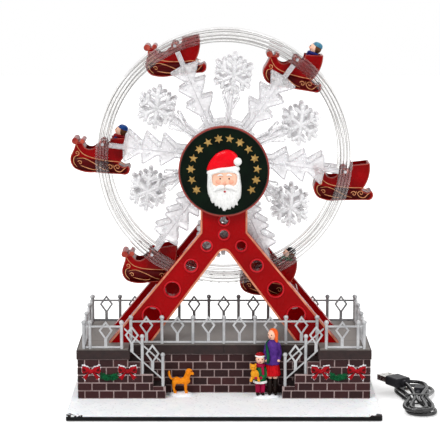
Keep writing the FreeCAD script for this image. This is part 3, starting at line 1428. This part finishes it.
def make_dog():
    """Standing dog that looks to the right, on a heap of snow.

    Heights and thicknesses are in hundredths of its height, and places along it in hundredths of its length.
    """
    y = CENTRE_FRONT - DOG_GAP
    unit = DOG_TALL / 100
    share = DOG_LONG / 100

    def at(along, aside, up):
        return V(DOG_X + along * share, y + aside * unit, GROUND + MOUND_TALL + up * unit)

    parts = [mound(DOG_X, y, DOG_MOUND)]
    for along in (-25.2, 19.3):
        for aside in (-9.0, 9.0):
            parts.append(rod(at(along, aside, -2.2), at(along * 0.9, aside * 0.8, 44.0), 7.1 * unit))
    parts.append(rod(at(-24.0, 0, 47.3), at(22.0, 0, 47.3), 15.5 * unit))
    parts.append(Part.makeSphere(15.5 * unit, at(-24.0, 0, 47.3)))
    parts.append(Part.makeSphere(17.0 * unit, at(21.0, 0, 48.4)))
    parts.append(rod(at(21.5, 0, 52.2), at(30.0, 0, 80.2), 11.6 * unit))
    parts.append(Part.makeSphere(16.5 * unit, at(30.5, 0, 83.5)))
    parts.append(rod(at(33.0, 0, 78.0), at(46.5, 0, 73.6), 7.6 * unit))
    parts.append(rod(at(-35.0, 0, 52.7), at(-44.5, 0, 86.8), 4.6 * unit))
    return fuse(parts)


def woman(x, y):
    """Woman in a flared coat and a cape; drawn in hundredths of her height."""
    unit = WOMAN_TALL / 100
    foot = GROUND + MOUND_TALL
    up = V(0, 0, 1)
    parts = []
    for side in (-1, 1):
        parts.append(disc_z(x + side * 4.2 * unit, y, foot - 0.8 * unit, foot + 31.0 * unit, 3.8 * unit))
    parts.append(Part.makeCone(12.2 * unit, 8.4 * unit, 20.0 * unit, V(x, y, foot + 28.6 * unit), up))
    parts.append(Part.makeCone(11.4 * unit, 9.8 * unit, 15.0 * unit, V(x, y, foot + 46.6 * unit), up))
    parts.append(Part.makeCone(11.2 * unit, 4.6 * unit, 25.0 * unit, V(x, y, foot + 59.7 * unit), up))
    parts.append(Part.makeSphere(8.8 * unit, V(x, y, foot + 91.2 * unit)))
    return parts


def child(x, y):
    """Child in a coat and scarf with a soft toy in its arm; drawn in hundredths of its height."""
    unit = CHILD_TALL / 100
    foot = GROUND + MOUND_TALL
    up = V(0, 0, 1)
    parts = [disc_z(x, y, foot - 1.5 * unit, foot + 26.0 * unit, 11.0 * unit)]
    parts.append(Part.makeCone(14.5 * unit, 10.5 * unit, 46.0 * unit, V(x, y, foot + 22.0 * unit), up))
    parts.append(disc_z(x, y, foot + 62.7 * unit, foot + 74.1 * unit, 12.0 * unit))
    parts.append(Part.makeSphere(13.0 * unit, V(x, y, foot + 87.0 * unit)))
    parts.append(Part.makeSphere(12.5 * unit, V(x - 12.0 * unit, y - 9.0 * unit, foot + 51.0 * unit)))
    parts.append(Part.makeSphere(9.0 * unit, V(x - 17.0 * unit, y - 10.0 * unit, foot + 68.0 * unit)))
    return parts


def make_shoppers():
    """Woman and child side by side on one heap of snow."""
    y = CENTRE_FRONT - SHOPPER_GAP
    parts = [mound(SHOPPER_X, y, SHOPPER_MOUND)]
    parts += woman(SHOPPER_X + WOMAN_ASIDE, y)
    parts += child(SHOPPER_X - CHILD_ASIDE, y - CHILD_FORWARD)
    return fuse(parts)


# USB lead

def hank_height(layer):
    """Height of the middle of the cord in a layer, counted from 0 at the bottom."""
    return TIE_THICK + TIE_CLEAR + CORD / 2 + layer * (CORD + LAYER_GAP)


def hank_station(eighth):
    """Point and heading of the cord at an eighth of a loop; 0 is the waist on the left, going down."""
    middle = int(HANK_LOOPS * 4)
    away = abs(eighth - middle)
    step = (middle - away + max(0, 2 - away)) / 8
    layer = 1 if eighth <= middle - 2 else 0
    place = eighth % 8
    down = V(0, -1, 0)
    up = V(0, 1, 0)
    if place in (0, 4):
        side = -1 if place == 0 else 1
        x = side * (HANK_WAIST + step * HANK_WAIST_STEP)
        y = 0
        heading = down if place == 0 else up
    elif place in (1, 2, 3):
        side = place - 2
        x = HANK_LOWER_LEANS[layer] + side * (HANK_LOWER_HALVES[layer] + step * HANK_LOBE_STEP)
        y = -HANK_LOWER_REACH if side else -(HANK_LOWER_ENDS[layer] + step * HANK_END_STEP)
        heading = (V(1, 0, 0), up, down)[side]
    else:
        side = 6 - place
        x = HANK_UPPER_LEANS[layer] + side * (HANK_UPPER_HALVES[layer] + step * HANK_LOBE_STEP)
        y = HANK_UPPER_REACH if side else HANK_UPPER_ENDS[layer] + step * HANK_END_STEP
        heading = (V(-1, 0, 0), up, down)[side]
    return V(x, y, hank_height(layer)), heading


def arc_middle(start, heading, end):
    """Middle point and radius of the arc that leaves a point along a heading and ends at another."""
    chord = end - start
    bulge = heading - chord * (heading.dot(chord) / chord.dot(chord))
    bulge.normalize()
    turn = heading.getAngle(chord)
    middle = (start + end) * 0.5 + bulge * (chord.Length / 2 * math.tan(turn / 2))
    return middle, chord.Length / (2 * math.sin(turn))


def biarc(start, heading, end, arrival):
    """Two tangent arcs from one point and heading to another, with their radii."""
    across = end - start
    spread = 2 * (1 - heading.dot(arrival))
    along = across.dot(heading + arrival)
    if spread < 1e-9:
        reach = across.dot(across) / (2 * along)
    else:
        reach = (math.sqrt(along * along + spread * across.dot(across)) - along) / spread
    meet = (start + heading * reach + end - arrival * reach) * 0.5
    first, radius_a = arc_middle(start, heading, meet)
    second, radius_b = arc_middle(end, arrival * -1, meet)
    edges = [Part.Arc(start, first, meet).toShape(), Part.Arc(meet, second, end).toShape()]
    return edges, [radius_a, radius_b]


def usb_height():
    """Height of the middle of the USB plug, which rests on the hank."""
    return hank_height(1) + CORD / 2 + FLOOR_GAP + USB_GRIP_HIGH / 2


def dc_height():
    """Height of the middle of the round plug, which lies on the floor inside the hank."""
    return FLOOR_GAP + DC_BODY_HIGH / 2


def least_gap(edges):
    """Least clear distance between parts of the cord that are well apart along it."""
    points = []
    for edge in edges:
        points += edge.discretize(Number=10)[:-1]
    places = [0.0]
    for before, after in zip(points, points[1:]):
        places.append(places[-1] + (after - before).Length)
    least = places[-1]
    for index, point in enumerate(points):
        for other in range(index + 1, len(points)):
            if places[other] - places[index] > 4 * CORD:
                least = min(least, (points[other] - point).Length)
    return least - CORD


def make_lead_hank():
    """The whole lead as one tube: loops drawn in at the waist, with a short end to each plug."""
    usb_turn = math.radians(USB_TURN)
    dc_turn = math.radians(DC_TURN)
    leave = V(math.sin(usb_turn), -math.cos(usb_turn), 0)
    arrive = V(math.sin(dc_turn), math.cos(dc_turn), 0)
    first = V(USB_X, USB_Y, usb_height())
    last = V(DC_X, DC_Y, dc_height())
    stations = [(first + leave * CORD, leave)]
    stations += [hank_station(eighth) for eighth in range(int(HANK_LOOPS * 8) + 1)]
    stations.append((last - arrive * CORD, arrive))
    edges = [Part.LineSegment(first, stations[0][0]).toShape()]
    radii = []
    for (start, heading), (end, arrival) in zip(stations, stations[1:]):
        pair, bends = biarc(start, heading, end, arrival)
        edges += pair
        radii += bends
    edges.append(Part.LineSegment(stations[-1][0], last).toShape())
    path = Part.Wire(edges)
    section = Part.Wire(Part.makeCircle(CORD / 2, first, leave))
    tube = path.makePipeShell([section], True, False)
    ratio = tube.Volume / (math.pi * (CORD / 2) ** 2 * path.Length)
    print("lead length", round(path.Length, 1), "least bend radius", round(min(radii), 2),
          "least gap", round(least_gap(edges), 3), "volume ratio", round(ratio, 4))
    return moved(tube, HANK_X, HANK_Y, 0)


def make_lead_tie():
    """Flat wire tie round the waist of the hank, with two short tails."""
    widest = max(hank_station(eighth)[0].x for eighth in range(4, int(HANK_LOOPS * 8) + 1, 8))
    half = widest + CORD / 2 + TIE_CLEAR
    top = hank_height(1) + CORD / 2 + TIE_CLEAR
    outer = box(-half - TIE_THICK, half + TIE_THICK, -TIE_WIDE / 2, TIE_WIDE / 2, 0, top + TIE_THICK)
    inner = box(-half, half, -TIE_WIDE / 2, TIE_WIDE / 2, TIE_THICK, top)
    low = top / 2
    high = low + TIE_THICK
    tail = box(-half - TIE_THICK - TIE_TAIL, -half - TIE_THICK / 2, 0, TIE_WIDE / 2, low, high)
    stub = box(half + TIE_THICK / 2, half + TIE_TAIL / 2, -TIE_WIDE / 2, 0, low, high)
    return moved(fuse([outer.cut(inner), tail, stub]), HANK_X, HANK_Y, 0)


def at_usb(shape):
    """A shape drawn along +Y from the cord's end, put at the USB end of the hank."""
    copy = shape.copy()
    copy.rotate(V(0, 0, 0), V(0, 0, 1), USB_TURN)
    return moved(copy, HANK_X + USB_X, HANK_Y + USB_Y, usb_height())


def make_usb_plug():
    """Moulded grip of the USB plug, with the tongue that carries its contacts."""
    half = USB_GRIP_WIDE / 2
    high = USB_GRIP_HIGH / 2
    end = USB_NUB_LONG + USB_GRIP_LONG
    nub = rod(V(0, 0, 0), V(0, USB_NUB_LONG, 0), USB_NUB_RADIUS)
    grip = box(-half, half, USB_NUB_LONG, end, -high, high)
    grip = grip.makeFillet(high / 2, edges_along(grip, V(0, 1, 0)))
    inner = USB_SHELL_WIDE / 2 - USB_SHELL_WALL
    low = -USB_SHELL_HIGH / 2 + USB_SHELL_WALL
    tongue = box(-inner, inner, end, end + USB_SHELL_LONG - USB_SHELL_WALL, low, low + USB_TONGUE_HIGH)
    return at_usb(fuse([nub, grip, tongue]))


def make_usb_shell():
    """Folded metal shell of the USB plug, with two square windows in its top."""
    half = USB_SHELL_WIDE / 2
    high = USB_SHELL_HIGH / 2
    start = USB_NUB_LONG + USB_GRIP_LONG
    end = start + USB_SHELL_LONG
    wall = USB_SHELL_WALL
    outer = box(-half, half, start, end, -high, high)
    tools = [box(-half + wall, half - wall, start, end, -high + wall, high - wall)]
    for side in (-1, 1):
        x = side * half / 2
        y = start + USB_SHELL_LONG / 2
        tools.append(box(x - USB_WINDOW / 2, x + USB_WINDOW / 2, y, y + USB_WINDOW, high - wall, high))
    return at_usb(cut(outer, tools))


def at_dc(shape):
    """A shape drawn along +Y from the cord's end, put at the round plug's end of the hank."""
    copy = shape.copy()
    copy.rotate(V(0, 0, 0), V(0, 0, 1), -DC_TURN)
    return moved(copy, HANK_X + DC_X, HANK_Y + DC_Y, dc_height())


def dc_block():
    """Block of the right-angled plug."""
    half = DC_BODY_WIDE / 2
    high = DC_BODY_HIGH / 2
    block = box(-half, half, DC_RELIEF_LONG, DC_RELIEF_LONG + DC_BODY_LONG, -high, high)
    return block.makeFillet(high / 2, edges_along(block, V(0, 0, 1)))


def make_dc_plug():
    """Right-angled power plug with a tapered strain relief."""
    relief = Part.makeCone(CORD / 2 + TIE_THICK, DC_RELIEF_RADIUS, DC_RELIEF_LONG, V(0, 0, 0), V(0, 1, 0))
    return at_dc(fuse([relief, dc_block()]))


def make_dc_barrel():
    """Hollow metal barrel that stands out of the side of the plug."""
    turn = math.radians(DC_BARREL_TURN)
    way = V(-math.sin(turn), math.cos(turn), 0)
    root = V(0, DC_RELIEF_LONG + DC_BARREL_AT, 0)
    tip = root + way * (DC_BODY_WIDE / 2 + DC_BARREL_LONG)
    barrel = rod(root, tip, DC_BARREL_RADIUS)
    bore = rod(root, tip, DC_BARREL_BORE)
    return at_dc(cut(barrel, [dc_block(), bore]))


# Build every node

def write(name, shape):
    """Write one node and report its solids."""
    shape.exportStep("parts/" + name + ".step")
    bound = shape.BoundBox
    print(name, len(shape.Solids), "valid", shape.isValid(), round(shape.Volume, 1),
          [round(value, 1) for value in (bound.XMin, bound.XMax, bound.YMin, bound.YMax, bound.ZMin, bound.ZMax)])


os.makedirs("parts", exist_ok=True)
tunnel = wire_tunnel()
stair = make_stair()
side_fence = make_side_fence()
wing_fence = make_wing_fence()
stair_rail = make_stair_rail()
write("bottom_plate", make_bottom_plate())
write("rubber_feet", make_feet())
write("snow_ground", make_snow_ground())
write("brick_walls", make_brick_walls())
write("cap_slab", make_cap_slab(tunnel))
write("deck_stone", make_deck_stone(tunnel))
write("stairs", group([stair, mirrored(stair)]))
write("rear_fence", make_rear_fence())
write("centre_fence", make_centre_fence())
write("side_fences", group([side_fence, mirrored(side_fence)]))
write("wing_fences", group([wing_fence, mirrored(wing_fence)]))
write("stair_rails", group([stair_rail, mirrored(stair_rail)]))
write("bows", make_bows())
write("garlands", make_garlands())
write("front_frame", make_a_frame(True))
write("rear_frame", make_a_frame(False))
write("frame_trim", make_frame_trim())
write("axle_bushes", make_bushes())
write("wheel_axle", make_axle())
write("front_rim", make_rim(True))
write("rear_rim", make_rim(False))
write("front_snowflake", make_snowflake(True))
write("rear_snowflake", make_snowflake(False))
write("hub_drum", make_hub_drum())
write("pivot_pins", make_pivot_pins())
write("driven_gear", make_driven_gear())
write("motor_pinion", make_pinion())
write("gear_motor", make_motor())
write("gear_housing", make_gear_housing(tunnel))
write("motor_wire", make_motor_wire())
write("medallion_disc", make_medallion_disc())
write("medallion_rim", make_medallion_rim())
write("medallion_stars", make_ornaments())
write("santa_face", make_santa_face())
write("santa_hat", make_santa_hat())
write("santa_beard", make_santa_beard())
write("santa_fur", make_santa_fur())
sleigh = make_sleigh()
rider = make_rider()
for seat in range(SEAT_COUNT):
    write("sleigh_%d" % (seat + 1), hung(sleigh, seat))
    if seat in RIDER_SEATS:
        write("rider_%d" % (seat + 1), hung(rider, seat))
write("circuit_board", make_board())
write("speaker", make_speaker())
write("dc_socket", make_dc_socket())
write("switch_body", make_switch_body())
write("switch_slider", make_switch_slider())
write("screws", make_screws())
write("dog", make_dog())
write("shoppers", make_shoppers())
write("lead_hank", make_lead_hank())
write("lead_tie", make_lead_tie())
write("usb_plug", make_usb_plug())
write("usb_shell", make_usb_shell())
write("dc_plug", make_dc_plug())
write("dc_barrel", make_dc_barrel())
